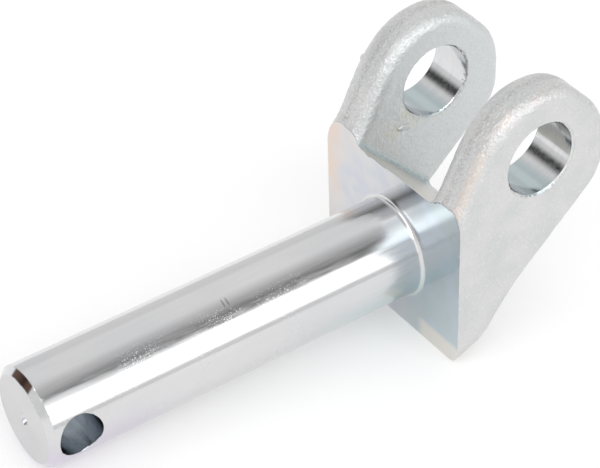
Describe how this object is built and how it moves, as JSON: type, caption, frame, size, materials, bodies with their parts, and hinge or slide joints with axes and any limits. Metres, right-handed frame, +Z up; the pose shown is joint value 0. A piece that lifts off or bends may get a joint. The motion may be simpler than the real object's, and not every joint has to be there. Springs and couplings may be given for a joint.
{
  "type": "rod clevis",
  "caption": "one-piece forged steel fork whose two round eye ears lean back from a turned shoulder and a plain round shank with a cross hole near its end",
  "frame": {"origin": "on the eye's axis, midway between the two ears", "axes": "-X along the shank away from the fork, Y along the eye's axis, +Z up the ears away from the shank"},
  "size_m": [0.1461, 0.0524, 0.0692],
  "materials": {
    "zinc_plated_steel": "pale bright zinc plating, fine-turned on the shank and shoulder, faintly rough forged skin on the ears"
  },
  "bodies": {
    "root": {"clevis_forging": "zinc_plated_steel"}
  },
  "joints": []
}
